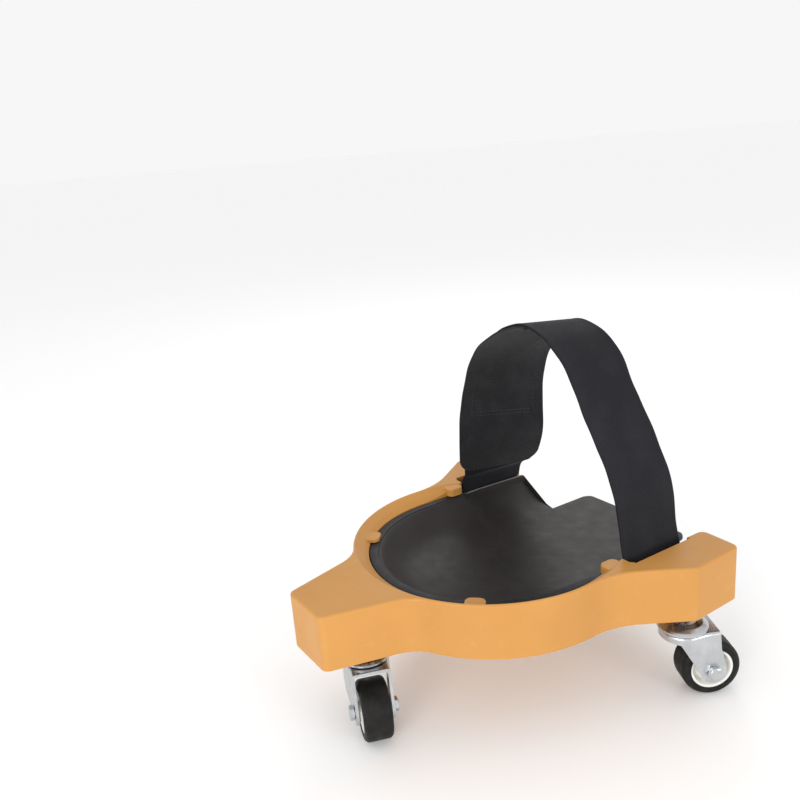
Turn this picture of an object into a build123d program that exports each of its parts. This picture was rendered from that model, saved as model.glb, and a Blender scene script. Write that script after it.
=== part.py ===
from build123d import *
import os
from math import cos, hypot, radians, sin

# Rolling knee pad: a three-armed moulded platform on swivel casters, with a knee pad and a calf strap.
# Millimetres, +Z up, +Y towards the shin, +X to the user's right.
# The origin is on the floor, under the centre of the ring.

# ---- Platform ----
RING_R = 91.0            # outer radius of the ring
RING_WALL = 3.0          # outer and inner walls of the hollow ring
DECK_TOP = 96.0          # deck height above the floor
DECK_HEIGHT = 35.5       # depth of the moulding
DECK_BOTTOM = DECK_TOP - DECK_HEIGHT
FLOOR_THICK = 2.4        # floor plate under the pad
FLOOR_TOP = DECK_BOTTOM + FLOOR_THICK
FLOOR_END_Y = 94.0       # rear edge of the floor plate, between the arms
ARM_WALL = 3.0           # walls and deck of the hollow arms
OVERALL_HALF = 139.2     # front arm's end, and the shin flap's end, from the origin

FRONT_TIP_HALF = 19.4    # front arm, half its width at the end
FRONT_ROOT_HALF = 35.4   # the same inside the ring
FRONT_ROOT_Y = -80.0
FRONT_FILLET = 28.0
REAR_ARM = [(118.3, 61.9), (116.8, 102.6), (87.8, 103.8)]  # outer front, outer rear and inner rear corners
REAR_ARM_LEAN = (0.554, 0.833)   # direction of the rear arm's front edge
REAR_FILLET = 55.0
REAR_ROOT = [(70.0, 40.0), (70.0, 12.0)]         # the rear arm's root inside the ring
FRONT_JOINS_Y = (-RING_R, -60.0)                 # where the front arm's sides meet the ring
REAR_JOINS_Y = (0.0, 30.0)                       # where the rear arms' front edges meet it
CORNER_R = 5.0           # upright corners of the arms
EDGE_R = 1.6             # top edges of the deck

SEAT_R = 81.2            # the pad's seat inside the ring
SEAT_TOP = DECK_TOP - 6.8      # where the seat's wall turns into the bevel
BEVEL = [(84.3, DECK_TOP - 4.0), (90.0, DECK_TOP + 0.1)]   # inner bevel of the ring, from the seat upwards
GROOVE_TOP = DECK_TOP - 8.0    # hollow under the ring, open below
GROOVE_END_Y = 16.0
GROOVE_RIBS = 12
RIB = 2.2                # thickness of the ribs under the deck

CHANNEL_HALF = 87.8      # half the width between the rear arms
CHANNEL_START_Y = 37.8
STRAP_RECESS = 2.8       # shallow recess in each rear arm's inner side
STRAP_RECESS_Y = (39.5, 89.0)

TAB_ANGLES = (-45.0, -135.0)     # pad-retaining tabs on the ring
TAB_WIDTH = 12.5
TAB_REACH = 5.8
TAB_ROOT = 4.0           # how far a tab is rooted in the ring's wall
TAB_THICK = 2.4
TAB_BOTTOM = DECK_TOP - 6.4
TAB_CORNER = 4.0
END_TAB_Y = 29.5         # the two tabs where the ring meets the rear arms
END_TAB_THICK = 5.6      # these stand nearly as high as the deck

# ---- Knee pad ----
PAD_R = 80.6             # half the pad's width, and the radius of its round front
PAD_RIM_TOP = DECK_TOP - 6.8   # flat land round the bowl
PAD_BOTTOM = FLOOR_TOP + 0.2
EAR_TOP = DECK_TOP - 10.6
EAR_START_Y = 38.0
EAR_END_Y = 98.0
EAR_INNER = 78.4
EAR_LIP = 4.5            # upright inner side of the ears, above the hollow
BOWL_R = 74.0
BOWL_FLOOR = DECK_BOTTOM + 7.5
FLAP_HALF = 48.7         # shin flap behind the arms
FLAP_START_Y = EAR_END_Y - 8
FLAP_TOP = DECK_BOTTOM + 5.5
FLAP_CORNER = 8.0

# ---- Strap ----
STRAP_THICK = 1.6
STRAP_Y = (38.5, 88.5)   # front and rear edges of the webbing
STRAP_X = 83.7           # where it rises, between ear and arm
STRAP_RUN_Z = FLOOR_TOP + 0.15 + STRAP_THICK / 2
STRAP_BEND = 5.0
STRAP_GROOVE = 0.45      # clearance cut round the strap's run under the pad
STRAP_CHAMFER = 11.0     # width of the pad's lower corner cut away where the strap turns up
PANEL_Y = (32.5, 94.5)   # front and rear edges of the hook panel
PANEL_THICK = 1.4

# Strap edges as (x, height above the deck), rising from it: the front edge first, then the rear edge.
RIGHT_RISE = [
    ((83.7, -10.0), (83.7, -10.0)),
    ((79.6, 8.0), (79.6, 8.0)),
    ((76.0, 32.0), (76.0, 32.0)),
    ((63.5, 60.5), (63.5, 60.0)),
    ((44.0, 94.5), (43.5, 93.0)),
    ((25.0, 121.0), (27.0, 117.5)),
    ((-4.0, 133.2), (2.0, 127.8)),
]
LEFT_FALL = [
    ((-35.0, 123.5), (-25.0, 118.0)),
    ((-55.0, 103.0), (-43.0, 98.0)),
    ((-66.0, 79.0), (-50.0, 77.0)),
    ((-72.0, 54.0), (-50.5, 52.0)),
    ((-74.5, 32.0), (-53.0, 31.0)),
    ((-76.0, 12.0), (-62.0, 11.0)),
]
LEFT_LEG_X = -40.0       # stations beyond this are on the left leg
LOOP_STATIONS = 81
FOOT_STATIONS = 9
BEND_STEP = 15           # degrees between stations in the strap's two bends
LONG_END = 56.0          # lowest point of the webbing's long end above the deck, down the left leg
SHORT_TOP = 97.0         # the short end's top above the deck
SHORT_EXTRA = 8.5        # how much wider than the rest the short end is, at its rear edge
SHORT_FOOT = [((-80.5, 1.0), (-79.5, 1.0)), ((-83.7, -12.0), (-83.7, -12.0))]
NARROW_Z = (84.5, 91.0)  # it narrows to the webbing's width between these heights, beside the ear
SHORT_LIFT = 2.3         # short end, outside the long end
PANEL_LIFT = -1.9        # hook panel, inside the long end
PANEL_TOP = 92.0

# ---- Casters ----
SWIVELS = {
    "front": (0.0, -102.0, -20.0),   # x, y and the heading in which the wheel trails
    "right": (102.0, 69.0, 62.0),
    "left": (-102.0, 69.0, 118.0),
}
TRAIL = 16.2
WHEEL_R = 18.75
WHEEL_WIDTH = 18.0
TYRE_BORE_R = 13.6
HUB_WIDTH = 19.6
HUB_BORE_R = 4.1
FORK_GAP = 20.6          # between the fork's legs
FORK_SHEET = 1.8
FORK_TOP = DECK_BOTTOM - 13.9
FORK_FRONT_R = 14.6      # round front of the fork's plate
FORK_REAR = 19.4
SKIRT_BOTTOM = FORK_TOP - 4.4
LEG_END_R = 8.0
AXLE_R = 2.5
AXLE_NUT_AF = 8.0
BUSH_R = 4.0
CUP_R = 15.6
CUP_RIM_Z = FORK_TOP + 0.8
RACE_R = 10.8            # middle of the upper ball race
CUP_NECK_Z = DECK_BOTTOM - 7.1
KINGPIN_R = 5.0
KINGPIN_HEAD_R = 8.6
STEM_R = 4.0
STEM_TOP = DECK_BOTTOM + 19.5
INSERT_R = 6.4
INSERT_LENGTH = 20.0
BOSS_R = 10.5
JAM_NUT_AF = 13.0
JAM_NUT_HEIGHT = 5.2
WASHER_R = 8.6
WASHER_THICK = 1.2
RUNNING = 0.06           # radial clearance of the running fits
FIT = 0.05               # clearance of the screwed fits


def face_of(points):
    """A flat face in the XY plane with straight sides."""
    return make_face(Polyline(*points, close=True))


def extruded(sketch, bottom, top):
    return extrude(Pos(0, 0, bottom) * sketch, amount=top - bottom)


def both_sides(shape):
    return shape + mirror(shape, about=Plane.YZ)


def on_circle(vertex, radius):
    return abs(hypot(vertex.X, vertex.Y) - radius) < 0.05


# ---------------------------------------------------------------- platform

def arm_plans():
    """Plans of the front arm and of the two rear arms, reaching into the ring."""
    front = face_of([
        (-FRONT_TIP_HALF, -OVERALL_HALF), (FRONT_TIP_HALF, -OVERALL_HALF),
        (FRONT_ROOT_HALF, FRONT_ROOT_Y), (0, -60), (-FRONT_ROOT_HALF, FRONT_ROOT_Y),
    ])
    outer_front, outer_rear, inner_rear = REAR_ARM
    reach = 60.0
    foot = (outer_front[0] - reach * REAR_ARM_LEAN[0], outer_front[1] - reach * REAR_ARM_LEAN[1])
    inner_front = (inner_rear[0], REAR_ROOT[0][1])
    rear = face_of([foot, outer_front, outer_rear, inner_rear, inner_front, *REAR_ROOT])
    return front, both_sides(rear)


def arm_corners(block):
    """The upright edges at the outer corners of the arms."""
    places = [(FRONT_TIP_HALF, -OVERALL_HALF), *REAR_ARM]
    return [
        e for e in block.edges().filter_by(Axis.Z)
        if any(hypot(abs(e.center().X) - x, e.center().Y - y) < 0.5 for x, y in places)
    ]


def arm_joins(block, low_y, high_y):
    """The upright edges between low_y and high_y where the arms meet the ring."""
    return [
        e for e in block.edges().filter_by(Axis.Z)
        if on_circle(e.center(), RING_R) and low_y < e.center().Y < high_y
    ]


def deck_block():
    """The whole deck as a solid block: ring and arms, with their upright edges rounded."""
    front, rear = arm_plans()
    block = extruded(Circle(RING_R) + front + rear, DECK_BOTTOM, DECK_TOP)
    block = fillet(arm_corners(block), CORNER_R)
    block = fillet(arm_joins(block, *FRONT_JOINS_Y), FRONT_FILLET)
    return fillet(arm_joins(block, *REAR_JOINS_Y), REAR_FILLET)


def open_to_rear(half_width, start_y):
    """A strip of the given half width from start_y out past the rear of the platform."""
    end_y = 120.0
    return Pos(0, (start_y + end_y) / 2) * Rectangle(2 * half_width, end_y - start_y)


def seat_plan(radius):
    """A half circle that runs straight out to the rear."""
    return Circle(radius) + open_to_rear(radius, 0)


def ring_bevel():
    """What is cut away above the pad's rim to leave the ring's sloping inner side."""
    (low_r, low_z), (high_r, high_z) = BEVEL
    return turned([(0, SEAT_TOP), (SEAT_R, SEAT_TOP), (low_r, low_z), (high_r, high_z), (0, high_z)])


def ring_groove():
    """The hollow under the ring, open below, with ribs across it."""
    inner, outer = SEAT_R + RING_WALL, RING_R - RING_WALL
    plan = Circle(outer) - seat_plan(inner)
    plan &= Pos(0, GROOVE_END_Y - 100) * Rectangle(200, 200)
    for i in range(GROOVE_RIBS):
        plan -= Rot(0, 0, 360 * i / GROOVE_RIBS) * Pos(outer, 0) * Rectangle(20, RIB)
    return extruded(plan, DECK_BOTTOM, GROOVE_TOP)


def arm_pockets(block):
    """Hollows in the arms' undersides, round a boss and ribs at each caster."""
    deck = Pos(0, 0, -DECK_TOP) * block.faces().sort_by(Axis.Z)[-1]
    inner = offset(deck, -ARM_WALL, kind=Kind.INTERSECTION)
    beside_channel = open_to_rear(CHANNEL_HALF + STRAP_RECESS + ARM_WALL, -15)
    pockets = inner - Circle(RING_R) - beside_channel
    for x, y, _ in SWIVELS.values():
        pockets -= Pos(x, y) * Circle(BOSS_R)
        pockets -= Pos(x, y) * Rectangle(60, RIB)
        pockets -= Pos(x, y) * Rectangle(RIB, 80)
    return extruded(pockets, DECK_BOTTOM, DECK_TOP - ARM_WALL)


def retaining_tab(thick):
    """A hooked tab that reaches inwards from a wall at x = 0, towards -X, over the pad's rim."""
    length = TAB_REACH + TAB_ROOT
    plan = Pos(TAB_ROOT - length / 2, 0) * Rectangle(length, TAB_WIDTH)
    plan = fillet([v for v in plan.vertices() if v.X < -1], TAB_CORNER)
    tab = extruded(plan, TAB_BOTTOM, TAB_BOTTOM + thick)
    return fillet(tab.faces().sort_by(Axis.Z)[-1].edges().filter_by(lambda e: e.center().X < 0.5), 0.8)


def platform():
    """The moulding that carries everything: hollow ring, floor, hollow arms and tabs."""
    block = deck_block()
    body = fillet(block.faces().sort_by(Axis.Z)[-1].edges(), EDGE_R)
    cavity = seat_plan(SEAT_R) + open_to_rear(CHANNEL_HALF, CHANNEL_START_Y)
    body -= extruded(cavity, FLOOR_TOP, DECK_TOP + 1)
    body -= ring_bevel()
    low, high = STRAP_RECESS_Y
    recess = Pos(CHANNEL_HALF, (low + high) / 2, 0) * Box(2 * STRAP_RECESS, high - low, 100, align=(
        Align.CENTER, Align.CENTER, Align.MIN))
    body -= both_sides(Pos(0, 0, FLOOR_TOP) * recess)
    body += Pos(0, FLOOR_END_Y / 2, DECK_BOTTOM) * Box(
        2 * CHANNEL_HALF, FLOOR_END_Y, FLOOR_THICK, align=(Align.CENTER, Align.CENTER, Align.MIN))
    body -= arm_pockets(block)
    body -= ring_groove()
    for angle in TAB_ANGLES:
        body += Rot(0, 0, angle) * Pos(SEAT_R, 0, 0) * retaining_tab(TAB_THICK)
    body += both_sides(Pos(SEAT_R, END_TAB_Y, 0) * retaining_tab(END_TAB_THICK))
    for x, y, _ in SWIVELS.values():
        body -= Pos(x, y, DECK_BOTTOM) * Cylinder(
            INSERT_R + FIT, INSERT_LENGTH + 2, align=(Align.CENTER, Align.CENTER, Align.MIN))
    return body


# ---------------------------------------------------------------- knee pad

def hollow_section(y, half_width, floor, rim):
    """Closed section of the pad's hollow across the leg, at a distance y along it."""
    points = [(-half_width, rim), (-0.8 * half_width, floor + 0.36 * (rim - floor)),
              (-0.5 * half_width, floor + 0.06 * (rim - floor)), (0, floor),
              (0.5 * half_width, floor + 0.06 * (rim - floor)),
              (0.8 * half_width, floor + 0.36 * (rim - floor)), (half_width, rim)]
    curve = Spline(*[(x, y, z) for x, z in points])
    lid_z = rim + 20
    lid = Polyline(
        (half_width, y, rim), (half_width, y, lid_z), (-half_width, y, lid_z), (-half_width, y, rim))
    return make_face(Wire([*curve.edges(), *lid.edges()]))


def knee_hollow():
    """The space that the knee and shin lie in: a half bowl that runs out into a channel."""
    section = hollow_section(0, BOWL_R, BOWL_FLOOR, PAD_RIM_TOP)
    half = section & (Pos(BOWL_R / 2, 0, 100) * Rot(90, 0, 0) * Rectangle(BOWL_R, 200))
    bowl = revolve(half, Axis.Z, 360)
    channel = loft([
        section,
        hollow_section(EAR_START_Y + 8, EAR_INNER, BOWL_FLOOR - 0.6, EAR_TOP - EAR_LIP),
        hollow_section(EAR_END_Y + 1, EAR_INNER, FLAP_TOP, EAR_TOP - EAR_LIP),
    ], ruled=True)
    return bowl + channel


def knee_pad():
    """Moulded pad: round bowl with a flat rim, two ears and a flap for the shin."""
    plan = Circle(PAD_R) + Pos(0, EAR_END_Y / 2) * Rectangle(2 * PAD_R, EAR_END_Y)
    pad = extruded(plan, PAD_BOTTOM, PAD_RIM_TOP)
    pad -= Pos(0, EAR_START_Y, EAR_TOP) * Box(200, 100, 20, align=(Align.CENTER, Align.MIN, Align.MIN))
    pad -= knee_hollow()
    flap_length = OVERALL_HALF - FLAP_START_Y
    flap_plan = Pos(0, FLAP_START_Y + flap_length / 2) * Rectangle(2 * FLAP_HALF, flap_length)
    flap_plan = fillet([v for v in flap_plan.vertices() if v.Y > EAR_END_Y], FLAP_CORNER)
    pad += extruded(flap_plan, PAD_BOTTOM, FLAP_TOP)
    run_top = STRAP_RUN_Z + STRAP_THICK / 2 + STRAP_GROOVE
    low, high = STRAP_Y
    groove = Pos(0, (low + high) / 2, PAD_BOTTOM - 1) * Box(
        200, high - low + 2, run_top - PAD_BOTTOM + 1, align=(Align.CENTER, Align.CENTER, Align.MIN))
    corner = Pos(PAD_R, (low + high) / 2, PAD_BOTTOM) * Rot(0, 45, 0) * Box(
        STRAP_CHAMFER, high - low + 2, STRAP_CHAMFER)
    return pad - groove - both_sides(corner)


# ---------------------------------------------------------------- strap

def edge_points(pairs, side, y):
    """One edge of the strap, front (0) or rear (1), as points in its own upright plane."""
    return [Vector(pair[side][0], y, DECK_TOP + pair[side][1]) for pair in pairs]


def spread(points, count):
    """Evenly spaced points on a smooth curve through the given ones."""
    curve = Spline(*points)
    return [curve.position_at(i / (count - 1)) for i in range(count)]


def stations(pairs, edges_y, count):
    """Matching points on the strap's front and rear edges."""
    front = spread(edge_points(pairs, 0, edges_y[0]), count)
    rear = spread(edge_points(pairs, 1, edges_y[1]), count)
    return list(zip(front, rear))


def normals(line):
    """Unit normal of the ribbon at each station, to the left of its direction of travel."""
    found = []
    for i in range(len(line)):
        before, after = line[max(i - 1, 0)], line[min(i + 1, len(line) - 1)]
        along = (after[0] + after[1]) - (before[0] + before[1])
        across = line[i][1] - line[i][0]
        found.append(across.cross(along).normalized())
    return found


def lifted(line, lift):
    return [(a + n * lift, b + n * lift) for (a, b), n in zip(line, normals(line))]


def ribbon(line, thick):
    """A flat band of the given thickness through the stations."""
    sections = []
    for (a, b), n in zip(line, normals(line)):
        half = n * (thick / 2)
        sections.append(make_face(Polyline(a - half, b - half, b + half, a + half, close=True)))
    return loft(sections, ruled=True)


def under_run():
    """The strap's run over the floor, with a bend at each end, from left to right."""
    x, z, r = STRAP_X, STRAP_RUN_Z, STRAP_BEND
    line = []
    for turn in range(0, 91, BEND_STEP):
        angle = radians(180 + turn)
        line.append((-x + r + r * cos(angle), z + r + r * sin(angle)))
    for turn in range(0, 91, BEND_STEP):
        angle = radians(270 + turn)
        line.append((x - r + r * cos(angle), z + r + r * sin(angle)))
    return [(Vector(px, STRAP_Y[0], pz), Vector(px, STRAP_Y[1], pz)) for px, pz in line]


def narrowed(line):
    """The same band, cut from the panel's width to the webbing's."""
    wide = PANEL_Y[1] - PANEL_Y[0]
    front, rear = ((y - PANEL_Y[0]) / wide for y in STRAP_Y)
    return [(a + (b - a) * front, a + (b - a) * rear) for a, b in line]


def loop_line():
    """Panel-wide stations up the right leg, over the crown and down the left leg."""
    return stations(RIGHT_RISE + LEFT_FALL, PANEL_Y, LOOP_STATIONS)


def height(pair):
    """Height of a station's front edge above the deck."""
    return pair[0].Z - DECK_TOP


def narrowing(point):
    """1 above the ears, 0 where the strap turns under the pad."""
    return min(max((point.Z - NARROW_Z[0]) / (NARROW_Z[1] - NARROW_Z[0]), 0), 1)


def left_leg(line, top):
    """The stations on the left leg that are below the given height above the deck."""
    return [pair for pair in line if pair[0].X < LEFT_LEG_X and height(pair) < top]


def webbing():
    """One length of webbing: short end, run under the pad, right leg, crown and long end."""
    loop = narrowed(loop_line())
    long_end = [pair for pair in loop if pair[0].X > LEFT_LEG_X or height(pair) > LONG_END]
    short_end = left_leg(lifted(loop, SHORT_LIFT), SHORT_TOP)
    short_end = [(a, b + Vector(0, SHORT_EXTRA, 0)) for a, b in short_end]
    last = [((a.X, a.Z - DECK_TOP), (b.X, b.Z - DECK_TOP)) for a, b in short_end[-2:]]
    front = spread(edge_points(last + SHORT_FOOT, 0, STRAP_Y[0]), FOOT_STATIONS)
    rear = spread(edge_points(last + SHORT_FOOT, 1, STRAP_Y[1]), FOOT_STATIONS)
    foot = [(a, b + Vector(0, SHORT_EXTRA * narrowing(b), 0)) for a, b in zip(front, rear)]
    return ribbon(short_end[:-2] + foot + under_run() + long_end, STRAP_THICK)


def hook_panel():
    """Wide hook-and-loop panel on the inside of the long end."""
    return ribbon(left_leg(lifted(loop_line(), PANEL_LIFT), PANEL_TOP), PANEL_THICK)


# ---------------------------------------------------------------- caster

def turned(points):
    """A solid of revolution about Z from (radius, height) points."""
    return revolve(make_face(Polyline(*[(r, 0, z) for r, z in points], close=True)), Axis.Z)


def hex_nut(across_flats, height, bore):
    """A nut standing on z = 0, with both faces chamfered at the corners."""
    corner = across_flats / (2 * cos(radians(30)))
    bevel = 0.12 * across_flats
    blank = extruded(RegularPolygon(corner, 6), 0, height)
    envelope = turned([
        (0, 0), (corner - bevel, 0), (corner, bevel * 0.6), (corner, height - bevel * 0.6),
        (corner - bevel, height), (0, height),
    ])
    nut = blank & envelope
    if bore:
        nut -= Cylinder(bore, 3 * height)
    return nut


def threaded_insert():
    base = DECK_BOTTOM + 0.3
    return turned([
        (STEM_R + FIT, base), (INSERT_R, base), (INSERT_R, base + INSERT_LENGTH),
        (STEM_R + FIT, base + INSERT_LENGTH),
    ])


def stem():
    """Threaded stem and kingpin in one, riveted over below the lower balls."""
    foot, shoulder = FORK_TOP - 6.0, CUP_NECK_Z - 1.7
    return turned([
        (0, foot), (KINGPIN_HEAD_R - 1.2, foot), (KINGPIN_HEAD_R, foot + 1), (KINGPIN_HEAD_R, foot + 2.2),
        (KINGPIN_R + 0.6, foot + 1.6), (KINGPIN_R, foot + 1.8), (KINGPIN_R, shoulder), (STEM_R, shoulder),
        (STEM_R, STEM_TOP - 1), (STEM_R - 1, STEM_TOP), (0, STEM_TOP),
    ])


def top_cup():
    """Domed raceway disc that stays still under the platform."""
    top, rim = CUP_NECK_Z, CUP_RIM_Z
    bore, thread = KINGPIN_R + FIT, STEM_R + FIT
    return turned([
        (bore, top - 1.6), (bore, rim + 3.2), (7.4, rim + 3.0), (9.0, rim + 2.4), (12.4, rim + 2.4),
        (13.4, rim + 1.2), (14.2, rim), (CUP_R, rim), (CUP_R, rim + 1.2), (14.6, rim + 2.2),
        (12.2, rim + 3.8), (8.4, rim + 4.8), (7.2, top), (thread, top), (thread, top - 1.6),
    ])


def ball_ring(ring_r, ball_r, height, count):
    """Loose bearing balls, evenly spaced in their race."""
    turns = [radians(360 * i / count) for i in range(count)]
    balls = [Pos(ring_r * cos(turn), ring_r * sin(turn), height) * Sphere(ball_r) for turn in turns]
    return Compound(children=balls)


def fork_plan(inset):
    """Plan of the fork's top: round in front, narrowing to the two parallel legs."""
    half = FORK_GAP / 2 + FORK_SHEET - inset
    front_r = FORK_FRONT_R - inset
    body = Circle(front_r) & (Pos(-10, 0) * Rectangle(30, 40))
    shoulder_x = 5.0
    shoulder_y = (front_r ** 2 - shoulder_x ** 2) ** 0.5
    tail = face_of([
        (0, -front_r), (shoulder_x, -shoulder_y), (12, -half), (40, -half),
        (40, half), (12, half), (shoulder_x, shoulder_y), (0, front_r),
    ])
    return body + tail


def fork_side():
    """Side outline of the fork: skirt in front, legs that taper down to the axle."""
    reach = LEG_END_R
    outline = face_of([
        (-20, FORK_TOP + 1), (FORK_REAR, FORK_TOP + 1), (FORK_REAR + 1.0, WHEEL_R + 16),
        (TRAIL + reach - 0.2, WHEEL_R + 2), (TRAIL, WHEEL_R), (TRAIL - 6.0, WHEEL_R - 5.3),
        (-6.0, SKIRT_BOTTOM - 1.0), (-20, SKIRT_BOTTOM),
    ])
    outline += Pos(TRAIL, WHEEL_R) * Circle(reach)
    return outline


def fork():
    """Pressed steel fork with its ball race and axle holes."""
    outer = extruded(fork_plan(0), 0, FORK_TOP)
    rim = outer.faces().sort_by(Axis.Z)[-1].edges().filter_by(lambda e: e.center().X < 39)
    outer = fillet(rim, 2.0)
    shell = outer - extruded(fork_plan(FORK_SHEET), -1, FORK_TOP - FORK_SHEET)
    side = extrude(Rot(90, 0, 0) * fork_side(), amount=20, both=True)
    shell &= side
    shell -= Cylinder(KINGPIN_R + RUNNING, 200)
    shell -= Pos(0, 0, FORK_TOP) * Torus(RACE_R, 1.55)
    shell -= Pos(TRAIL, 0, WHEEL_R) * Rot(90, 0, 0) * Cylinder(AXLE_R + FIT, 60)
    return shell


def across_axle(shape):
    """Turns a shape made about Z so that it lies along the axle, at the axle's place."""
    return Pos(TRAIL, 0, WHEEL_R) * Rot(90, 0, 0) * shape


def axle_bolt():
    face = FORK_GAP / 2 + FORK_SHEET + FIT
    end = -face - 3.4
    shank = Pos(0, 0, (face + end) / 2) * Cylinder(AXLE_R, face - end)
    head = Pos(0, 0, face) * hex_nut(AXLE_NUT_AF, 3.2, 0)
    return across_axle(shank + head)


def axle_nut():
    face = FORK_GAP / 2 + FORK_SHEET + FIT
    return across_axle(Pos(0, 0, -face - 3.0) * hex_nut(AXLE_NUT_AF, 3.0, AXLE_R + FIT))


def axle_bush():
    tube = Cylinder(BUSH_R, FORK_GAP - 0.1) - Cylinder(AXLE_R + FIT, FORK_GAP)
    return across_axle(tube)


def hub():
    """Nylon wheel centre: rim, thin web and a long boss."""
    half, boss_half, web_half = WHEEL_WIDTH / 2 - 0.6, HUB_WIDTH / 2, 3.0
    profile = [
        (HUB_BORE_R, -boss_half), (6.2, -boss_half), (7.0, -web_half - 1), (8.4, -web_half),
        (10.8, -web_half), (11.8, -half + 0.8), (12.2, -half), (TYRE_BORE_R, -half),
        (TYRE_BORE_R, half), (12.2, half), (11.8, half - 0.8), (10.8, web_half),
        (8.4, web_half), (7.0, web_half + 1), (6.2, boss_half), (HUB_BORE_R, boss_half),
    ]
    return across_axle(turned(profile))


def tyre():
    """Solid rubber tread with rounded shoulders."""
    band = Cylinder(WHEEL_R, WHEEL_WIDTH)
    band = fillet(band.edges().filter_by(GeomType.CIRCLE), 3.2)
    return across_axle(band - Cylinder(TYRE_BORE_R + 0.02, 2 * WHEEL_WIDTH))


def caster():
    """Every piece of one caster, with its swivel axis on Z and its wheel trailing along +X."""
    washer_z = DECK_BOTTOM - WASHER_THICK
    washer = turned([
        (STEM_R + FIT, washer_z), (WASHER_R, washer_z),
        (WASHER_R, DECK_BOTTOM), (STEM_R + FIT, DECK_BOTTOM),
    ])
    return {
        "insert": threaded_insert(),
        "stem": stem(),
        "washer": washer,
        "jam_nut": Pos(0, 0, washer_z - JAM_NUT_HEIGHT) * hex_nut(JAM_NUT_AF, JAM_NUT_HEIGHT, STEM_R + FIT),
        "top_cup": top_cup(),
        "upper_balls": ball_ring(RACE_R, 1.3, FORK_TOP + 1.5, 16),
        "fork": fork(),
        "lower_balls": ball_ring(7.0, 0.8, FORK_TOP - FORK_SHEET - 0.95, 14),
        "axle_bolt": axle_bolt(),
        "axle_nut": axle_nut(),
        "axle_bush": axle_bush(),
        "hub": hub(),
        "tyre": tyre(),
    }


def assembly():
    """Node name to solid for the whole object."""
    nodes = {
        "platform": platform(),
        "knee_pad": knee_pad(),
        "strap_webbing": webbing(),
        "strap_hook_panel": hook_panel(),
    }
    pieces = caster()
    for place, (x, y, heading) in SWIVELS.items():
        for name, solid in pieces.items():
            nodes[f"{place}_{name}"] = Pos(x, y, 0) * Rot(0, 0, heading) * solid
    return nodes


os.makedirs("parts", exist_ok=True)
for node, solid in assembly().items():
    export_step(solid, f"parts/{node}.step")
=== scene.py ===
import math

import bmesh
import bpy
import numpy as np
from mathutils import Matrix, Vector


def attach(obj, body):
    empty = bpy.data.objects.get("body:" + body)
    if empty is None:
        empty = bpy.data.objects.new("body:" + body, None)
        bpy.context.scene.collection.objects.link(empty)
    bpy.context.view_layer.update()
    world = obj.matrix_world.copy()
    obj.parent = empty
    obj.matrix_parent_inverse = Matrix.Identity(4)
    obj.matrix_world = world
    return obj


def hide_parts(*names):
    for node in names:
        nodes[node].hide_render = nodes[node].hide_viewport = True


# Rolling knee pad, in metres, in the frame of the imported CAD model: +Z up, +Y to the rear along
# the shin, origin on the floor under the centre of the ring. Only the dimensions and curves of
# the pad and the strap are written in millimetres; make_piece turns them into metres.

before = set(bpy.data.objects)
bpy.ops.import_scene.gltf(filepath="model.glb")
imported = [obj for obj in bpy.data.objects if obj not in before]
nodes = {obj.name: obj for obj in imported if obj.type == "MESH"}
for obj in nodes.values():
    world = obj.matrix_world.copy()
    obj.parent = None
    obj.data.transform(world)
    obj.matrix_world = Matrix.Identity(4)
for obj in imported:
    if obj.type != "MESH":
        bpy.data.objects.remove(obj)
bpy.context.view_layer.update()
PLACES = ("front", "right", "left")


# ---------------------------------------------------------------- camera, light and floor

def make_camera():
    """The photograph's viewpoint: from the front right, above, close enough for strong perspective."""
    data = bpy.data.cameras.new("camera")
    data.lens, data.sensor_width = 38.25, 36.0
    camera = bpy.data.objects.new("camera", data)
    bpy.context.scene.collection.objects.link(camera)
    right = Vector((0.5447, 0.8350, -0.0781)).normalized()
    back = Vector((0.8125, -0.5025, 0.2955)).normalized()
    up = back.cross(right).normalized()
    right = up.cross(back)
    turn = Matrix((right, up, back)).transposed().to_4x4()
    camera.matrix_world = Matrix.Translation((0.4085, -0.3139, 0.3517)) @ turn
    data.clip_start, data.clip_end = 0.01, 20.0
    bpy.context.scene.camera = camera


def area_light(name, place, target, size, power, colour=(1, 1, 1)):
    data = bpy.data.lights.new(name, "AREA")
    data.shape, data.size, data.energy, data.color = "DISK", size, power, colour
    light = bpy.data.objects.new(name, data)
    light.location = place
    light.rotation_mode = "QUATERNION"
    light.rotation_quaternion = (Vector(place) - Vector(target)).to_track_quat("Z", "Y")
    bpy.context.scene.collection.objects.link(light)


def make_light():
    """Soft studio light: a pale world, a low key and a side light, and a weak light high behind."""
    world = bpy.data.worlds.new("studio")
    bpy.context.scene.world = world
    world.use_nodes = True
    world.node_tree.nodes["Background"].inputs["Color"].default_value = (1.0, 1.0, 1.0, 1)
    world.node_tree.nodes["Background"].inputs["Strength"].default_value = 0.93
    middle = (0.0, 0.0, 0.08)
    area_light("key_light", (0.75, -1.25, 0.40), middle, 0.7, 9.5)
    area_light("high_light", (-0.75, 0.75, 1.1), middle, 0.60, 2.2)
    area_light("side_light", (1.5, 0.3, 0.35), middle, 0.5, 5.0)
    bpy.context.scene.view_settings.view_transform = "Standard"


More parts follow.
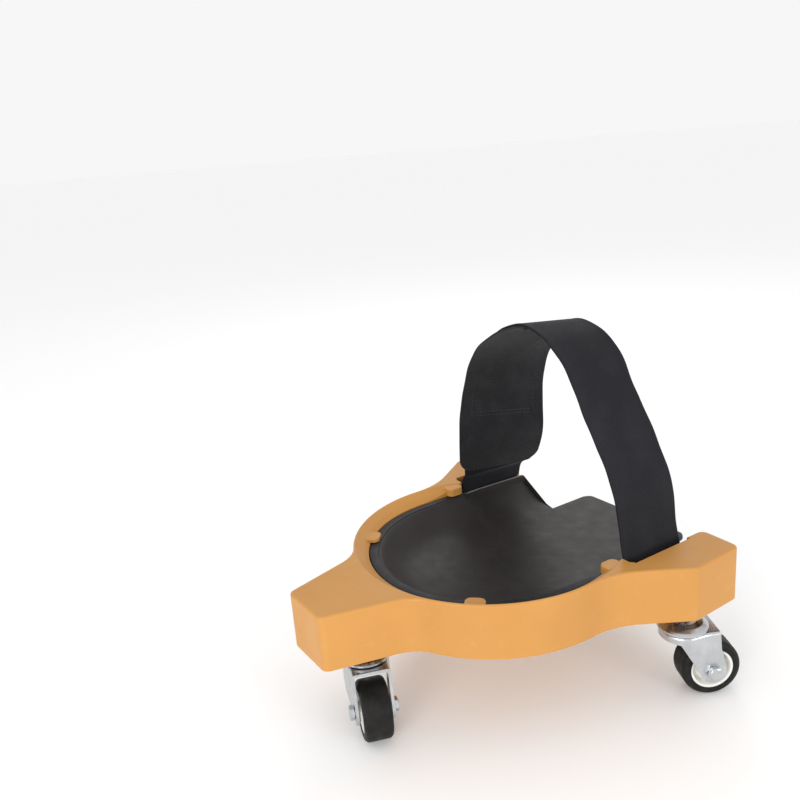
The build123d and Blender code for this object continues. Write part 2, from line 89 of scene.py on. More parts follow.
def make_floor():
    """A plain pale floor, wide enough for every view and nearly as bright as the world behind it."""
    mesh = bpy.data.meshes.new("floor")
    half = 40.0
    corners = [(-half, -half, 0), (half, -half, 0), (half, half, 0), (-half, half, 0)]
    mesh.from_pydata(corners, [], [(0, 1, 2, 3)])
    floor = bpy.data.objects.new("floor", mesh)
    bpy.context.scene.collection.objects.link(floor)
    material = Nodes("floor_white")
    material.principled(base=(0.90, 0.90, 0.90), roughness=0.7, specular=0.1)
    material.shader.inputs["Emission Color"].default_value = (1, 1, 1, 1)
    material.shader.inputs["Emission Strength"].default_value = 0.07
    mesh.materials.append(material.material)


# ---------------------------------------------------------------- material tools

class Nodes:
    """A small builder for procedural materials."""

    def __init__(self, name):
        self.material = bpy.data.materials.new(name)
        self.material.use_nodes = True
        self.tree = self.material.node_tree
        self.shader = self.tree.nodes["Principled BSDF"]

    def principled(self, base, roughness, metallic=0.0, specular=0.5, coat=0.0, coat_roughness=0.2,
                   sheen=0.0, sheen_roughness=0.5, subsurface=0.0):
        values = {
            "Base Color": (*base, 1), "Roughness": roughness, "Metallic": metallic,
            "Specular IOR Level": specular, "Coat Weight": coat, "Coat Roughness": coat_roughness,
            "Sheen Weight": sheen, "Sheen Roughness": sheen_roughness, "Subsurface Weight": subsurface,
        }
        for name, value in values.items():
            self.shader.inputs[name].default_value = value

    def add(self, kind, **inputs):
        """A node with its inputs set or linked, by name or, as i0, i1 and so on, by number."""
        node = self.tree.nodes.new(kind)
        for name, value in inputs.items():
            self.set(node, name, value)
        return node

    def set(self, node, name, value):
        numbered = name[0] == "i" and name[1:].isdigit()
        socket = node.inputs[int(name[1:]) if numbered else name]
        if isinstance(value, bpy.types.NodeSocket):
            self.tree.links.new(value, socket)
        else:
            socket.default_value = value

    def place(self):
        return self.add("ShaderNodeTexCoord").outputs["Object"]

    def weave(self):
        """Distance across and along a band of cloth, in metres."""
        node = self.add("ShaderNodeUVMap")
        node.uv_map = "weave"
        parts = self.add("ShaderNodeSeparateXYZ", Vector=node.outputs["UV"])
        return parts.outputs["X"], parts.outputs["Y"]

    def trait(self, name):
        """A number from 0 to 1 that the mesh carries at each point."""
        node = self.add("ShaderNodeAttribute")
        node.attribute_name = name
        return node.outputs["Fac"]

    def noise(self, scale, detail=3.0, vector=None, distortion=0.0):
        node = self.add("ShaderNodeTexNoise", Scale=scale, Detail=detail, Distortion=distortion)
        self.tree.links.new(vector or self.place(), node.inputs["Vector"])
        return node.outputs["Fac"]

    def scaled(self, factors, vector=None):
        node = self.add("ShaderNodeVectorMath", i1=factors)
        node.operation = "MULTIPLY"
        self.tree.links.new(vector or self.place(), node.inputs[0])
        return node.outputs[0]

    def math(self, operation, a, b=0.0):
        node = self.add("ShaderNodeMath", i0=a, i1=b)
        node.operation = operation
        return node.outputs[0]

    def span(self, value, low, high, to_low=0.0, to_high=1.0):
        """Maps low..high to to_low..to_high, clamped."""
        node = self.add("ShaderNodeMapRange")
        limits = {"From Min": low, "From Max": high, "To Min": to_low, "To Max": to_high}
        for name, number in limits.items():
            node.inputs[name].default_value = number
        self.tree.links.new(value, node.inputs["Value"])
        return node.outputs["Result"]

    def mix(self, share, a, b):
        """Colour a to colour b."""
        node = self.add("ShaderNodeMix")
        node.data_type = "RGBA"
        for index, value in ((0, share), (6, a), (7, b)):
            if isinstance(value, bpy.types.NodeSocket):
                self.tree.links.new(value, node.inputs[index])
            else:
                node.inputs[index].default_value = (*value, 1) if isinstance(value, tuple) else value
        return node.outputs[2]

    def bump(self, height, distance, strength=1.0, normal=None):
        node = self.add("ShaderNodeBump", Height=height, Distance=distance, Strength=strength)
        if normal:
            self.tree.links.new(normal, node.inputs["Normal"])
        return node.outputs["Normal"]

    def finish(self, colour=None, roughness=None, normal=None):
        for name, value in (("Base Color", colour), ("Roughness", roughness), ("Normal", normal)):
            if value:
                self.tree.links.new(value, self.shader.inputs[name])
        return self.material


# ---------------------------------------------------------------- materials

def orange_plastic():
    m = Nodes("orange_plastic")
    m.principled((0.53, 0.252, 0.062), 0.42, specular=0.30)
    cloud = m.noise(18.0, 4.0)
    grain = m.noise(1400.0, 2.0)
    colour = m.mix(m.span(cloud, 0.35, 0.65), (0.515, 0.243, 0.058), (0.550, 0.263, 0.066))
    scuff = m.noise(1.0, 5.0, vector=m.scaled((260.0, 40.0, 200.0)), distortion=0.4)
    colour = m.mix(m.span(scuff, 0.62, 0.80, 0.0, 0.35), colour, (0.59, 0.33, 0.115))
    rough = m.span(m.noise(60.0, 5.0), 0.3, 0.7, 0.36, 0.52)
    return m.finish(colour, rough, m.bump(grain, 0.00008, 0.5))


def black_pad():
    """Satin moulded foam rubber: fine pores, cloudy sheen, a few light scuffs, painted shade on the flat
    land round the bowl and a painted highlight along the top of the ears' lips.
    """
    m = Nodes("black_pad")
    m.principled((0.022, 0.020, 0.019), 0.46, specular=0.27, sheen=0.02)
    cloud = m.noise(24.0, 4.0)
    colour = m.mix(m.span(cloud, 0.3, 0.7), (0.0215, 0.0183, 0.0168), (0.0315, 0.0272, 0.0250))
    dust = m.noise(420.0, 4.0, distortion=0.6)
    colour = m.mix(m.span(dust, 0.60, 0.78, 0.0, 0.30), colour, (0.07, 0.066, 0.062))
    rough = m.span(m.noise(90.0, 5.0), 0.3, 0.7, 0.40, 0.54)
    # painted shade: the flat land round the bowl is made near black and bluish, as if shadowed in the
    # groove beside the ring
    colour = m.mix(m.trait("land"), colour, (0.006, 0.0065, 0.010))
    # painted highlight: a light grey line along the top of the ears' lips
    colour = m.mix(m.trait("lip"), colour, (0.24, 0.235, 0.225))
    pores = m.add("ShaderNodeTexVoronoi", Vector=m.place(), Scale=950.0)
    pore = m.span(pores.outputs["Distance"], 0.0, 0.35)
    fine = m.bump(m.noise(1800.0, 2.0), 0.0001, 0.5)
    return m.finish(colour, rough, m.bump(pore, 0.00012, 0.35, normal=fine))


def rib(m, distance, pitch):
    """0 to 1 across each rib of the given pitch."""
    turn = m.math("MULTIPLY", distance, math.pi / pitch)
    return m.math("ABSOLUTE", m.math("SINE", turn))


def woven(name, pitch, dark, light, sheen):
    """Plain webbing: ribs along the band, crossed by picks that step from rib to rib."""
    m = Nodes(name)
    m.principled(dark, 0.85, specular=0.12, sheen=sheen, sheen_roughness=0.4)
    across, along = m.weave()
    step = m.math("FLOOR", m.math("DIVIDE", across, pitch))
    shifted = m.math("ADD", along, m.math("MULTIPLY", step, 0.6 * pitch))
    thread = m.math("MULTIPLY", rib(m, across, pitch), m.math("ADD", 0.45, m.math(
        "MULTIPLY", rib(m, shifted, 1.25 * pitch), 0.55)))
    fuzz = m.noise(2400.0, 3.0)
    height = m.math("ADD", thread, m.math("MULTIPLY", fuzz, 0.5))
    wear = m.noise(38.0, 5.0)
    colour = m.mix(m.span(height, 0.3, 1.3), dark, light)
    colour = m.mix(m.span(wear, 0.45, 0.72, 0.0, 0.35), colour, tuple(1.5 * c for c in light))
    rough = m.span(fuzz, 0.3, 0.7, 0.74, 0.95)
    return m.finish(colour, rough, m.bump(height, 0.00022, 0.7))


def hook_cloth():
    """Hook-and-loop cloth: a dense mat of short pile, brushed in patches."""
    m = Nodes("hook_cloth")
    m.principled((0.012, 0.012, 0.014), 0.9, specular=0.12, sheen=0.14, sheen_roughness=0.5)
    across, along = m.weave()
    rows = m.math("MULTIPLY", rib(m, across, 0.0011), rib(m, along, 0.0013))
    pile = m.noise(2600.0, 4.0, distortion=0.8)
    height = m.math("ADD", m.math("MULTIPLY", rows, 0.6), pile)
    colour = m.mix(m.span(height, 0.4, 1.2), (0.009, 0.009, 0.0105), (0.022, 0.022, 0.025))
    brushed = m.noise(55.0, 4.0, distortion=0.5)
    colour = m.mix(m.span(brushed, 0.45, 0.70, 0.0, 0.4), colour, (0.033, 0.033, 0.037))
    return m.finish(colour, m.span(pile, 0.3, 0.7, 0.8, 0.97), m.bump(height, 0.0004, 0.9))


def thread():
    m = Nodes("thread")
    m.principled((0.03, 0.03, 0.034), 0.55, specular=0.3, sheen=0.1)
    twist = m.noise(3000.0, 2.0)
    colour = m.mix(m.span(twist, 0.35, 0.65), (0.020, 0.020, 0.023), (0.045, 0.045, 0.050))
    return m.finish(colour, m.span(twist, 0.3, 0.7, 0.4, 0.6), m.bump(twist, 0.00008, 0.6))


def steel(name, base, roughness, grain=(400.0, 400.0, 30.0)):
    m = Nodes(name)
    m.principled(base, roughness, metallic=1.0)
    streak = m.noise(1.0, 3.0, vector=m.scaled(grain))
    blotch = m.noise(70.0, 4.0)
    dark = tuple(0.86 * c for c in base)
    colour = m.mix(m.span(blotch, 0.35, 0.65), dark, base)
    rough = m.span(streak, 0.3, 0.7, roughness - 0.07, roughness + 0.09)
    return m.finish(colour, rough, m.bump(streak, 0.00003, 0.3))


def white_nylon():
    m = Nodes("white_nylon")
    m.principled((0.80, 0.79, 0.74), 0.35, specular=0.5, subsurface=0.08)
    m.shader.inputs["Subsurface Radius"].default_value = (0.002, 0.002, 0.0015)
    colour = m.mix(m.span(m.noise(120.0), 0.3, 0.7), (0.76, 0.75, 0.70), (0.84, 0.83, 0.79))
    rough = m.span(m.noise(200.0), 0.3, 0.7, 0.3, 0.42)
    return m.finish(colour, rough, m.bump(m.noise(900.0), 0.00004, 0.4))


def tyre_rubber():
    m = Nodes("tyre_rubber")
    m.principled((0.010, 0.0095, 0.0095), 0.5, specular=0.20)
    cloud = m.noise(150.0, 4.0)
    colour = m.mix(m.span(cloud, 0.35, 0.7), (0.006, 0.0058, 0.0056), (0.014, 0.0133, 0.0126))
    rough = m.span(m.noise(260.0), 0.3, 0.7, 0.46, 0.66)
    return m.finish(colour, rough, m.bump(m.noise(1500.0), 0.00008, 0.5))


def brass():
    return steel("brass", (0.72, 0.52, 0.22), 0.3)


def use(node, material):
    """Gives a CAD node one material."""
    mesh = nodes[node].data
    mesh.materials.clear()
    mesh.materials.append(material)
    for polygon in mesh.polygons:
        polygon.material_index = 0


def finish_cad_nodes():
    zinc = steel("zinc_plate", (0.60, 0.62, 0.64), 0.28)
    dark = steel("dark_steel", (0.16, 0.17, 0.21), 0.32)
    balls = steel("ball_steel", (0.70, 0.70, 0.71), 0.16)
    looks = {
        "insert": brass(), "stem": zinc, "washer": zinc, "jam_nut": dark, "top_cup": zinc,
        "upper_balls": balls, "lower_balls": balls, "fork": zinc, "axle_bolt": zinc, "axle_nut": zinc,
        "axle_bush": zinc, "hub": white_nylon(), "tyre": tyre_rubber(),
    }
    use("platform", orange_plastic())
    for place in PLACES:
        for piece, look in looks.items():
            use(f"{place}_{piece}", look)


# ---------------------------------------------------------------- mesh tools

def make_piece(name, points, faces, material, sharp_angle=40):
    """A smooth-shaded mesh with merged points, outward faces and creases above sharp_angle degrees."""
    mesh = bpy.data.meshes.new(name)
    mesh.from_pydata([tuple(0.001 * c for c in p) for p in points], [], faces)
    work = bmesh.new()
    work.from_mesh(mesh)
    bmesh.ops.remove_doubles(work, verts=work.verts, dist=1e-6)
    bmesh.ops.dissolve_degenerate(work, edges=work.edges, dist=1e-7)
    bmesh.ops.recalc_face_normals(work, faces=work.faces)
    work.to_mesh(mesh)
    work.free()
    for polygon in mesh.polygons:
        polygon.use_smooth = True
    mesh.set_sharp_from_angle(angle=math.radians(sharp_angle))
    mesh.materials.append(material)
    piece = bpy.data.objects.new(name, mesh)
    bpy.context.scene.collection.objects.link(piece)
    return piece


def curve_through(points, count):
    """Evenly spaced points on a natural cubic curve through the given ones."""
    points = np.array(points, float)
    gaps = np.linalg.norm(np.diff(points, axis=0), axis=1)
    knots = np.concatenate([[0], np.cumsum(gaps)])
    last = len(points) - 1
    system, right = np.eye(last + 1), np.zeros_like(points)
    for i in range(1, last):
        system[i, i - 1:i + 2] = gaps[i - 1], 2 * (gaps[i - 1] + gaps[i]), gaps[i]
        after = (points[i + 1] - points[i]) / gaps[i]
        before = (points[i] - points[i - 1]) / gaps[i - 1]
        right[i] = 6 * (after - before)
    bend = np.linalg.solve(system, right)
    at = np.linspace(0, knots[-1], count)
    span = np.clip(np.searchsorted(knots, at, side="right") - 1, 0, last - 1)
    gap = gaps[span][:, None]
    a = (knots[span + 1] - at)[:, None] / gap
    b = 1 - a
    straight = a * points[span] + b * points[span + 1]
    return straight + ((a ** 3 - a) * bend[span] + (b ** 3 - b) * bend[span + 1]) * gap ** 2 / 6


def tube_faces(first, sections, around):
    """Faces that join closed sections, each of around points, with a cap at both ends."""
    faces = []
    for section in range(sections - 1):
        for k in range(around):
            a = first + section * around + k
            b = first + section * around + (k + 1) % around
            faces.append((a, b, b + around, a + around))
    last = first + around * (sections - 1)
    return faces + [tuple(range(first, first + around)), tuple(range(last, last + around))]


def ease(value, low, high):
    """0 below low, 1 above high, and a smooth step between."""
    t = min(max((value - low) / (high - low), 0.0), 1.0)
    return t * t * (3 - 2 * t)


# ---------------------------------------------------------------- knee pad

PAD_HALF = 80.6              # half the pad's width, and the radius of its round front
PAD_LOW = 63.1               # underside of the pad
PAD_END_Y = 98.0             # rear end of the ears
RIM_Z = 89.2
BOWL_HALF = 74.0             # half the hollow's width, before it widens towards the ears
BOWL_FLOOR = 68.0            # lowest point of the bowl at its widest section
EAR_LAND, FRONT_LAND = 2.2, 5.5      # rim width without a crease, and with the full crease
EAR_LIP = 4.4                # upright inner side of the ears
EAR_INNER = 78.0             # points further out than this belong to the ears
EDGE_CUT = 0.8               # bevel along the pad's lower edge
BOWL_COLUMNS = 30            # steps from the middle to the edge of the hollow
EDGE_ROUNDING = 7            # points round the flap's edge
CURVE_SAMPLES = 400          # points worked out on the hollow's curve
FRONT_STEPS = 96             # steps round the front of the bowl
FLAP_HALF, FLAP_TOP, FLAP_END_Y, FLAP_CORNER = 48.7, 66.0, 139.2, 8.0
GROOVE_Y = (37.5, 89.5)      # where the strap runs under the pad
GROOVE_TOP, CORNER_CUT = 65.1, 7.8   # the groove's ceiling, and the bevel where the strap turns up

# Distances along the pad at which it has a section, closest where the shape changes most
PAD_SECTIONS_Y = [
    0.0, 2.0, 5.0, 9.0, 14.0, 19.0, 24.0, 28.0, 31.0, *np.arange(33.0, 37.1, 0.5), 37.1, 37.3,
    *np.arange(37.5, 43.5, 0.5), *np.arange(45.0, 88.0, 3.0), 88.5, 89.2, 89.5, 89.7, 89.9,
    92.0, 94.5, 96.2,
]
EAR_ENDS = [(97.0, 0.1), (97.5, 0.35), (97.85, 0.75), (98.0, 1.4)]       # y, and how far drawn in
FLAP_SECTIONS = [
    *[(y, 0.0) for y in (98.12, 99.5, 103, 108, 114, 120, 126, 131.2, 133, 134.6, 136, 137.1, 137.9)],
    (138.5, 0.15), (138.9, 0.45), (139.2, 1.0),
]


def pad_rim(y):
    """Height of the rim, which steps down where the ears begin and then slopes gently rearwards."""
    return RIM_Z - 2.4 * ease(y, 33, 42) - 1.6 * ease(y, 42, 120)


def hollow_half(y):
    """Half the width of the hollow."""
    return BOWL_HALF + 4.4 * ease(y, 0, 50)


def hollow_floor(y):
    """Height of the hollow's middle, which sinks a little from the bowl to the shin channel."""
    return BOWL_FLOOR - 0.6 * ease(y, 0, 46) - 1.4 * ease(y, 40, PAD_END_Y)


def bowl_curve(half, floor, rim):
    """Height of the hollow at BOWL_COLUMNS + 1 even steps from the middle to its edge."""
    rise = rim - floor
    side = [(-half, rim), (-0.8 * half, floor + 0.36 * rise), (-0.5 * half, floor + 0.06 * rise)]
    knots = [*side, (0, floor), *[(-x, z) for x, z in reversed(side)]]
    line = curve_through(knots, CURVE_SAMPLES)
    reach = [(half - 0.3) * k / BOWL_COLUMNS for k in range(BOWL_COLUMNS + 1)]
    return list(zip(reach, np.interp(reach, line[:, 0], line[:, 1])))


def pad_section(y):
    """Outline of the pad's right half at y, from the middle of the hollow to that of the base."""
    half = hollow_half(y)
    rim = pad_rim(y)
    land = PAD_HALF - half
    crease = ease(land, EAR_LAND, FRONT_LAND)
    lip = 0.35 + 0.25 * crease + EAR_LIP * ease(y, 34, 50)
    outline = bowl_curve(half, hollow_floor(y), rim - lip)
    outline += [
        (half + 0.02 * land, rim - lip - 0.15 * crease),
        (half + 0.06 * land, rim - 0.30 - 0.40 * crease),
        (half + 0.13 * land, rim - 0.12), (half + 0.24 * land, rim), (PAD_HALF - 0.20 * land, rim),
        (PAD_HALF - 0.06 * land, rim - 0.25), (PAD_HALF, rim - 0.8),
    ]
    start, end = GROOVE_Y
    in_groove = ease(y, start - 0.4, start) * (1 - ease(y, end, end + 0.4))
    low = PAD_LOW + (GROOVE_TOP - PAD_LOW) * in_groove
    cut = EDGE_CUT + (CORNER_CUT - EDGE_CUT) * in_groove
    outline += [(PAD_HALF, (rim + low + cut) / 2), (PAD_HALF, low + cut)]
    outline += [((PAD_HALF - cut) * k / BOWL_COLUMNS, low) for k in range(BOWL_COLUMNS, -1, -1)]
    return outline


def rounded_end(outline, inset):
    """The section drawn in near the pad's rear end, more where it stands higher above the flap."""
    moved = []
    for r, z in outline:
        share = inset * ease(z, FLAP_TOP, FLAP_TOP + 5)
        moved.append((r - share if r > EAR_INNER else r, z - share))
    return moved


def flap_section(y, inset):
    """Outline of the flap's right half, with as many points as the pad's."""
    beyond = max(y - (FLAP_END_Y - FLAP_CORNER), 0.0)
    half = FLAP_HALF - FLAP_CORNER + math.sqrt(max(FLAP_CORNER ** 2 - beyond ** 2, 0)) - inset
    top, low, bend = FLAP_TOP - inset, PAD_LOW + 0.5 * inset, 1.1 - 0.8 * inset
    outline = [((half - bend) * k / BOWL_COLUMNS, top) for k in range(BOWL_COLUMNS + 1)]
    for k in range(1, EDGE_ROUNDING + 1):
        angle = math.radians(90 - 90 * k / EDGE_ROUNDING)
        outline.append((half - bend + bend * math.cos(angle), top - bend + bend * math.sin(angle)))
    outline += [(half, (top + low) / 2 - 0.1), (half, low + 0.5)]
    outline += [((half - 0.5) * k / BOWL_COLUMNS, low) for k in range(BOWL_COLUMNS, -1, -1)]
    return outline


def pad_sections():
    """(y, outline) from the widest part of the bowl to the rear end of the flap."""
    rows = [(y, pad_section(y)) for y in PAD_SECTIONS_Y]
    rows += [(y, rounded_end(pad_section(y), inset)) for y, inset in EAR_ENDS]
    return rows + [(y, flap_section(y, inset)) for y, inset in FLAP_SECTIONS]


def mark_painted_shade_and_highlight(mesh):
    """Marks the flat land round the bowl, which the material paints with shade, and the top of the ears'
    lips, which it paints with a highlight.
    """
    land = mesh.attributes.new("land", "FLOAT", "POINT")
    lip = mesh.attributes.new("lip", "FLOAT", "POINT")
    for i, vertex in enumerate(mesh.vertices):
        x, y, z = (1000 * c for c in vertex.co)
        reach = abs(x) if y > 0 else math.hypot(x, y)
        half = hollow_half(y)
        top = y < PAD_END_Y + 0.05 and z > pad_rim(y) - 1.7
        on_ear = ease(y, 36, 44)
        # painted shade mask: 1 on the flat land round the bowl, away from the ears
        land.data[i].value = float(top and reach > half + 0.1) * (1 - on_ear)
        # painted highlight mask: 1 along the top of the ears' lips
        lip.data[i].value = float(top and reach > half + 0.2) * on_ear


def knee_pad(material):
    """Moulded pad: bowl, flat rim with a crease, two thin ears and a flap for the shin."""
    rows = pad_sections()
    front = pad_section(0.0)
    spines = [(y, -1.0, 0.0, outline) for y, outline in reversed(rows)]
    for k in range(1, FRONT_STEPS):
        angle = math.pi * (1 + k / FRONT_STEPS)
        spines.append((0.0, math.cos(angle), math.sin(angle), front))
    spines += [(y, 1.0, 0.0, outline) for y, outline in rows]
    points, faces, count = [], [], len(front)
    for y, dx, dy, outline in spines:
        points += [(dx * r, y + dy * r, z) for r, z in outline]
    for i in range(len(spines) - 1):
        for j in range(count - 1):
            a, b = i * count + j, (i + 1) * count + j
            faces.append((a, b, b + 1, a + 1))
    for base in (0, (len(spines) - 1) * count):
        for k in range(BOWL_COLUMNS):
            faces.append((base + k, base + k + 1, base + count - 2 - k, base + count - 1 - k))
        faces.append(tuple(base + k for k in range(BOWL_COLUMNS, count - BOWL_COLUMNS)))
    pad = make_piece("knee_pad_foam", points, faces, material, sharp_angle=32)
    mark_painted_shade_and_highlight(pad.data)
    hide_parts("knee_pad")
    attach(pad, "root")


# ---------------------------------------------------------------- strap

DECK = 96.0                                  # height of the deck
STRAP_Y, STRAP_THICK = (38.5, 88.5), 1.6
PANEL_Y, PANEL_THICK = (32.5, 94.5), 1.4
LONG_END, SHORT_TOP, PANEL_TOP = 56.0, 97.0, 92.0    # heights above the deck: two ends, seams' start
SHORT_EXTRA, NARROW_Z = 8.5, (79.0, 86.0)    # the short end is wider, down to beside the ear
FOLD_Z, FOLD_DEPTH, FOLD_WIDTH = 102.6, 1.5, 2.4     # a crease in the short end, below the panel
PANEL_TAPER_END_X = -2.0                     # the panel's border narrows to the webbing up to here
PANEL_TAPER = 42.0                           # over this width
SHORT_LIFT, PANEL_LIFT = 2.3, -1.9           # layers outside and inside the webbing's long end
STRAP_X, RUN_Z, STRAP_BEND = 83.7, 63.85, 5.0        # beside and under the pad, and bend radius
LEFT_LEG_X = -40.0                           # stations beyond this are on the left leg
LOOP_STATIONS, FOOT_STATIONS = 241, 21
BEND_STEP = 9                                # degrees between stations in a bend under the pad
WEBBING_BORDER, PANEL_BORDER = 2.6, 1.8      # width of the woven borders
PANEL_CORNER = 10.0
STITCH_PITCH, STITCH_START, STITCH_END = 3.1, 0.2, 2.5      # start and end within each pitch
STITCH_RISE = 0.12                           # height of the thread above the cloth
STITCH_RINGS = [                             # share of the stitch, radius, rise
    (0.0, 0.08, -0.22), (0.15, 0.22, 0.0), (0.5, 0.27, 0.08), (0.85, 0.22, 0.0), (1.0, 0.08, -0.22),
]
STITCH_SIDES = 6
# (x, height above the deck) of the front edge, then of the rear edge
RIGHT_RISE = [
    ((83.7, -10.0), (83.7, -10.0)), ((79.6, 8.0), (79.6, 8.0)), ((76.0, 32.0), (76.0, 32.0)),
    ((63.5, 60.5), (63.5, 60.0)), ((44.0, 94.5), (43.5, 93.0)), ((25.0, 121.0), (27.0, 117.5)),
    ((-4.0, 133.2), (2.0, 127.8)),
]
LEFT_FALL = [
    ((-35.0, 123.5), (-25.0, 118.0)), ((-55.0, 103.0), (-43.0, 98.0)), ((-66.0, 79.0), (-50.0, 77.0)),
    ((-72.0, 54.0), (-50.5, 52.0)), ((-74.5, 32.0), (-53.0, 31.0)), ((-76.0, 12.0), (-62.0, 11.0)),
]
SHORT_FOOT = [((-80.5, 1.0), (-79.5, 1.0)), ((-83.7, -12.0), (-83.7, -12.0))]


def edge_points(pairs, side, y):
    """One edge of the strap, front (0) or rear (1), as points in its own upright plane."""
    return [(pair[side][0], y, DECK + pair[side][1]) for pair in pairs]


def band_normals(front, rear):
    """Unit normal of the band at each station, pointing out of the loop."""
    middle = (front + rear) / 2
    along = np.gradient(middle, axis=0)
    normal = np.cross(rear - front, along)
    return normal / np.linalg.norm(normal, axis=1)[:, None]


def loop_line():
    """Front and rear edges, as wide as the panel, up the right leg, over the crown and down the left."""
    front, rear = (
        curve_through(edge_points(RIGHT_RISE + LEFT_FALL, side, y), LOOP_STATIONS)
        for side, y in enumerate(PANEL_Y))
    normal = band_normals(front, rear)
    # slight waves in the soft cloth, which die out at both ends
    turn = np.linspace(0, 2 * math.pi, len(front))[:, None]
    calm = np.clip(np.minimum(turn, 2 * math.pi - turn) / 0.8, 0, 1)
    front = front + normal * calm * (0.45 * np.sin(6 * turn) + 0.2 * np.sin(15 * turn + 1))
    rear = rear + normal * calm * (0.40 * np.sin(7 * turn + 2) + 0.2 * np.sin(13 * turn))
    return front, rear


def lifted(line, lift):
    """The same band, moved along its normals."""
    normal = band_normals(*line)
    return line[0] + normal * lift, line[1] + normal * lift


def narrowed(line):
    """The same band, cut from the panel's width to the webbing's."""
    front, rear = line
    shares = [(y - PANEL_Y[0]) / (PANEL_Y[1] - PANEL_Y[0]) for y in STRAP_Y]
    return front + (rear - front) * shares[0], front + (rear - front) * shares[1]


def under_run():
    """The strap's run under the pad, from left to right, with a bend at each end."""
    x, z, r = STRAP_X, RUN_Z, STRAP_BEND
    line = []
    for corner, start in ((-x + r, 180), (x - r, 270)):
        for turn in range(0, 91, BEND_STEP):
            angle = math.radians(start + turn)
            line.append((corner + r * math.cos(angle), z + r + r * math.sin(angle)))
    return tuple(np.array([(px, y, pz) for px, pz in line]) for y in STRAP_Y)


def left_leg(line, top):
    """The stations on the left leg that are below the given height above the deck."""
    keep = (line[0][:, 0] < LEFT_LEG_X) & (line[0][:, 2] - DECK < top)
    return line[0][keep], line[1][keep]


def panel_line(loop):
    """The panel's edges: full width on the left leg, drawn in to the webbing's width at the crown."""
    front, rear = lifted(loop, PANEL_LIFT)
    slim_front, slim_rear = narrowed((front, rear))
    after_crown = (front[:, 0] < PANEL_TAPER_END_X) & (np.arange(len(front)) > len(front) // 3)
    share = np.clip((PANEL_TAPER_END_X - front[:, 0]) / PANEL_TAPER, 0, 1)[:, None]
    share = share * share * (3 - 2 * share)
    front = slim_front + (front - slim_front) * share
    rear = slim_rear + (rear - slim_rear) * share
    return front[after_crown], rear[after_crown]


def lengths(line):
    """Distance along a line of points, at each of them."""
    return np.concatenate([[0], np.cumsum(np.linalg.norm(np.diff(line, axis=0), axis=1))])


def band_section(width, selvedge):
    """(distance across, share of half the thickness) round a band with thicker, rounded borders."""
    edge = [(0.0, 0.0), (0.12, 0.55), (0.45, 0.90), (0.9, 1.0), (selvedge * 0.6, 1.06)]
    edge += [(selvedge, 1.02), (selvedge + 0.5, 0.88)]
    inner = [(selvedge + 0.5 + (width - 2 * selvedge - 1) * k / 10, 0.9) for k in range(1, 10)]
    top = edge + inner + [(width - d, h) for d, h in reversed(edge)]
    return top + [(d, -h) for d, h in reversed(top[1:-1])]


def band(name, front, rear, thick, selvedge, material, corner=0.0):
    """A flat woven band between two edges. corner is the radius that rounds off its last end."""
    normal = band_normals(front, rear)
    along = lengths((front + rear) / 2)
    width = float(np.mean(np.linalg.norm(rear - front, axis=1)))
    ring = band_section(width, selvedge)
    points, places = [], []
    for i in range(len(front)):
        cut = max(corner - (along[-1] - along[i]), 0.0)
        draw = corner - math.sqrt(max(corner ** 2 - cut ** 2, 0))
        for d, h in ring:
            share = (draw + d * (width - 2 * draw) / width) / width
            points.append(front[i] + (rear[i] - front[i]) * share + normal[i] * h * thick / 2)
            places.append((0.001 * share * width, 0.001 * along[i]))
    faces = tube_faces(0, len(front), len(ring))
    piece = make_piece(name, points, faces, material, sharp_angle=50)
    layer = piece.data.uv_layers.new(name="weave")
    for loop in piece.data.loops:
        layer.data[loop.index].uv = places[loop.vertex_index]
    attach(piece, "root")
    return piece


def seam_path(front, rear, normal, start, end, steps=200):
    """Points and normals along a straight seam between two (station, share across) on a band."""
    spots, ups = [], []
    for k in range(steps + 1):
        station, share = (p + (q - p) * k / steps for p, q in zip(start, end))
        a, t = int(station), station - int(station)
        b = min(a + 1, len(front) - 1)
        f = front[a] * (1 - t) + front[b] * t
        r = rear[a] * (1 - t) + rear[b] * t
        spots.append(f + (r - f) * share)
        ups.append(normal[a])
    return np.array(spots), np.array(ups)


def stitches(line, seams, height):
    """Points and faces of the thread in these seams, at a height along the band's normals."""
    points, faces = [], []
    normal = band_normals(*line)
    for start, end in seams:
        spots, ups = seam_path(*line, normal, start, end)
        spots = spots + ups * height
        run = lengths(spots)
        for k in range(int(run[-1] / STITCH_PITCH)):
            at = k * STITCH_PITCH
            ends = [
                np.array([np.interp(at + d, run, spots[:, c]) for c in range(3)])
                for d in (STITCH_START, STITCH_END)]
            up = ups[int((len(ups) - 1) * at / run[-1])]
            spindle(points, faces, *ends, up)
    return points, faces


def spindle(points, faces, start, end, up):
    """One stitch: a short rounded length of thread that dips into the cloth at both ends."""
    along = (end - start) / np.linalg.norm(end - start)
    side = np.cross(along, up)
    faces += tube_faces(len(points), len(STITCH_RINGS), STITCH_SIDES)
    for share, radius, rise in STITCH_RINGS:
        centre = start + (end - start) * share + up * rise
        for k in range(STITCH_SIDES):
            angle = 2 * math.pi * k / STITCH_SIDES
            points.append(centre + radius * (math.cos(angle) * side + math.sin(angle) * up))


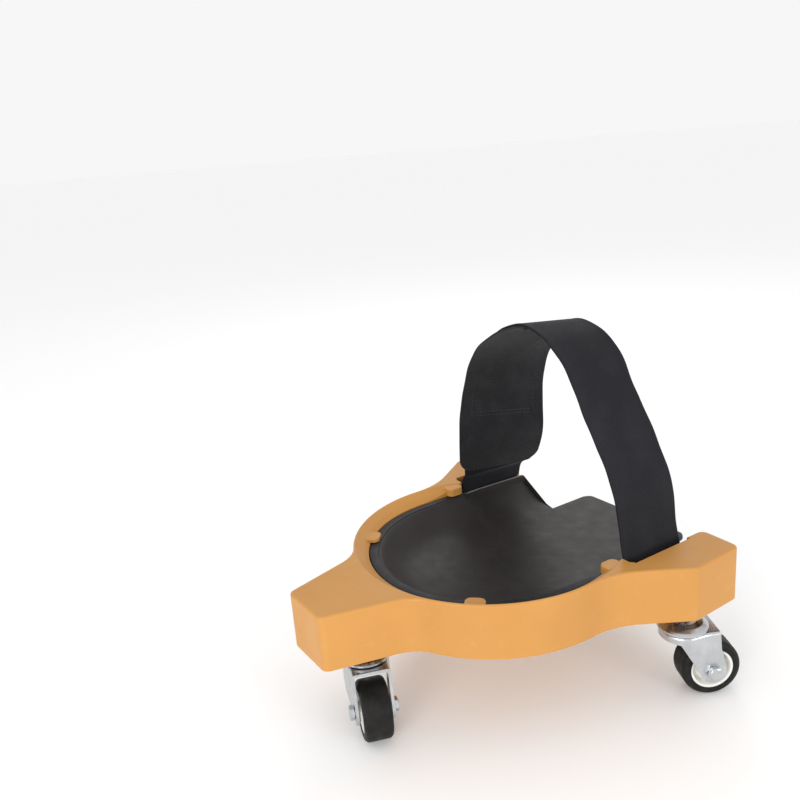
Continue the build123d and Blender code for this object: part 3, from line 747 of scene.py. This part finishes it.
def short_end(web):
    """The short end outside the left leg, and its foot, which runs down beside the ear."""
    short = left_leg(lifted(web, SHORT_LIFT), SHORT_TOP)
    foot = tuple(
        curve_through([*edge[-3:-1], *edge_points(SHORT_FOOT, side, y)], FOOT_STATIONS)
        for side, (edge, y) in enumerate(zip(short, STRAP_Y)))
    short[1][:, 1] += SHORT_EXTRA
    low, high = NARROW_Z
    foot[1][:, 1] += SHORT_EXTRA * np.clip((foot[1][:, 2] - low) / (high - low), 0, 1)
    for edge in (*short, *foot):
        edge[:, 0] += FOLD_DEPTH * np.exp(-(((edge[:, 2] - FOLD_Z) / FOLD_WIDTH) ** 2))
    return short, foot


def webbing_piece(web, short, foot):
    """One length: short end, foot, run under the pad, right leg, crown and long end."""
    cloth = woven("webbing", 0.0016, (0.009, 0.009, 0.0115), (0.020, 0.020, 0.024), 0.07)
    run = under_run()
    keep = (web[0][:, 0] > LEFT_LEG_X) | (web[0][:, 2] - DECK > LONG_END)
    front, rear = (np.concatenate([short[k][:-3], foot[k], run[k], web[k][keep]]) for k in (0, 1))
    webbing = band("strap_band", front, rear, STRAP_THICK, WEBBING_BORDER, cloth)
    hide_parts("strap_webbing")


def panel_piece(inside):
    """The wide hook-and-loop panel, with rounded lower corners."""
    panel = band("hook_panel", *inside, PANEL_THICK, PANEL_BORDER, hook_cloth(), corner=PANEL_CORNER)
    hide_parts("strap_hook_panel")


def stitching_piece(inside, short):
    """The thread that joins panel and webbing, and two rows at the top of the short end."""
    heights = inside[0][:, 2] - DECK
    first = int(np.argmin(np.abs(heights - PANEL_TOP)))
    last = int(np.argmin(np.abs(heights - LONG_END))) - 1
    near, far = 0.13, 0.87          # shares of the panel's width, just inside the webbing's edges
    points, faces = stitches(inside, [
        ((first, near), (last, near)), ((first, far), (last, far)),
        ((last, near), (last, far)), ((last - 2, near), (last - 2, far)),
    ], -PANEL_THICK / 2 - STITCH_RISE)
    more, more_faces = stitches(
        short, [((2, 0.05), (2, 0.95)), ((4, 0.05), (4, 0.95))], STRAP_THICK / 2 + STITCH_RISE)
    faces += [tuple(i + len(points) for i in face) for face in more_faces]
    thread_piece = make_piece("strap_stitching", points + more, faces, thread(), sharp_angle=60)
    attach(thread_piece, "root")


def strap():
    """Webbing, hook panel and the thread that joins them."""
    loop = loop_line()
    web = narrowed(loop)
    short, foot = short_end(web)
    inside = panel_line(loop)
    webbing_piece(web, short, foot)
    panel_piece(inside)
    stitching_piece(inside, short)


# ---------------------------------------------------------------- build

make_camera()
make_light()
make_floor()
finish_cad_nodes()
knee_pad(black_pad())
strap()
